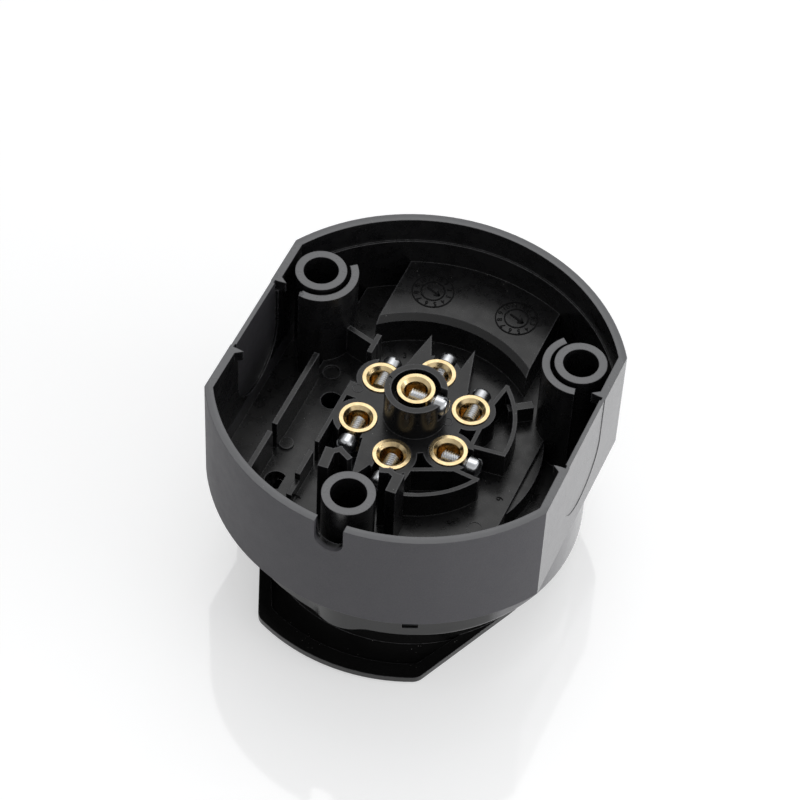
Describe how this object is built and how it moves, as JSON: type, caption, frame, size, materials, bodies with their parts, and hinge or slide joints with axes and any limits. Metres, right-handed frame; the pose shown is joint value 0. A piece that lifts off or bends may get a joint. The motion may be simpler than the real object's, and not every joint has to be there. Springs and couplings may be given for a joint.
{
  "type": "seven-pin trailer socket",
  "caption": "Round socket with two flats, an open wiring cup with brass terminals at the rear, and a barrel with a sprung hinged lid at the front.",
  "frame": {"origin": "centre of the mounting pattern in the plane of the rear rim, on the barrel's axis", "axes": "+Z out of the open rear, +Y towards the lid's hinge"},
  "size_m": [0.0716, 0.083, 0.05],
  "materials": {
    "housing_plastic": "black moulded plastic with a fine grain",
    "lid_plastic": "black plastic with a soft gloss",
    "seal_rubber": "smooth rubber",
    "pin_steel": "plain steel",
    "spring_steel": "spring wire",
    "contact_brass": "turned brass",
    "screw_zinc": "bright zinc plate"
  },
  "bodies": {
    "housing": {"housing": "housing_plastic", "hinge_pin": "pin_steel", "lid_spring": "spring_steel", "contact_1": "contact_brass", "contact_2": "contact_brass", "contact_3": "contact_brass", "contact_4": "contact_brass", "contact_5": "contact_brass", "contact_6": "contact_brass", "contact_7": "contact_brass"},
    "lid": {"lid": "lid_plastic", "lid_seal": "seal_rubber"},
    "clamp_screw_1": {"clamp_screw_1": "screw_zinc"},
    "clamp_screw_2": {"clamp_screw_2": "screw_zinc"},
    "clamp_screw_3": {"clamp_screw_3": "screw_zinc"},
    "clamp_screw_4": {"clamp_screw_4": "screw_zinc"},
    "clamp_screw_5": {"clamp_screw_5": "screw_zinc"},
    "clamp_screw_6": {"clamp_screw_6": "screw_zinc"},
    "clamp_screw_7": {"clamp_screw_7": "screw_zinc"}
  },
  "joints": [
    {"name": "lid_hinge", "type": "hinge", "parent": "housing", "child": "lid", "pos_m": [0, 0.0335, -0.037], "axis": [1, 0, 0], "range_deg": [0, 110], "stiffness_Nm_per_rad": 0.06, "springref_deg": -68.75, "deforming": ["lid_spring"]},
    {"name": "clamp_screw_1_travel", "type": "slide", "parent": "housing", "child": "clamp_screw_1", "axis": [0, 1, 0], "range_m": [0, 0.002]},
    {"name": "clamp_screw_2_travel", "type": "slide", "parent": "housing", "child": "clamp_screw_2", "axis": [0, 1, 0], "range_m": [0, 0.002]},
    {"name": "clamp_screw_3_travel", "type": "slide", "parent": "housing", "child": "clamp_screw_3", "axis": [0, 1, 0], "range_m": [0, 0.002]},
    {"name": "clamp_screw_4_travel", "type": "slide", "parent": "housing", "child": "clamp_screw_4", "axis": [0, -1, 0], "range_m": [0, 0.002]},
    {"name": "clamp_screw_5_travel", "type": "slide", "parent": "housing", "child": "clamp_screw_5", "axis": [0, -1, 0], "range_m": [0, 0.002]},
    {"name": "clamp_screw_6_travel", "type": "slide", "parent": "housing", "child": "clamp_screw_6", "axis": [1, 0, 0], "range_m": [0, 0.002]},
    {"name": "clamp_screw_7_travel", "type": "slide", "parent": "housing", "child": "clamp_screw_7", "axis": [1, 0, 0], "range_m": [0, 0.002]}
  ]
}
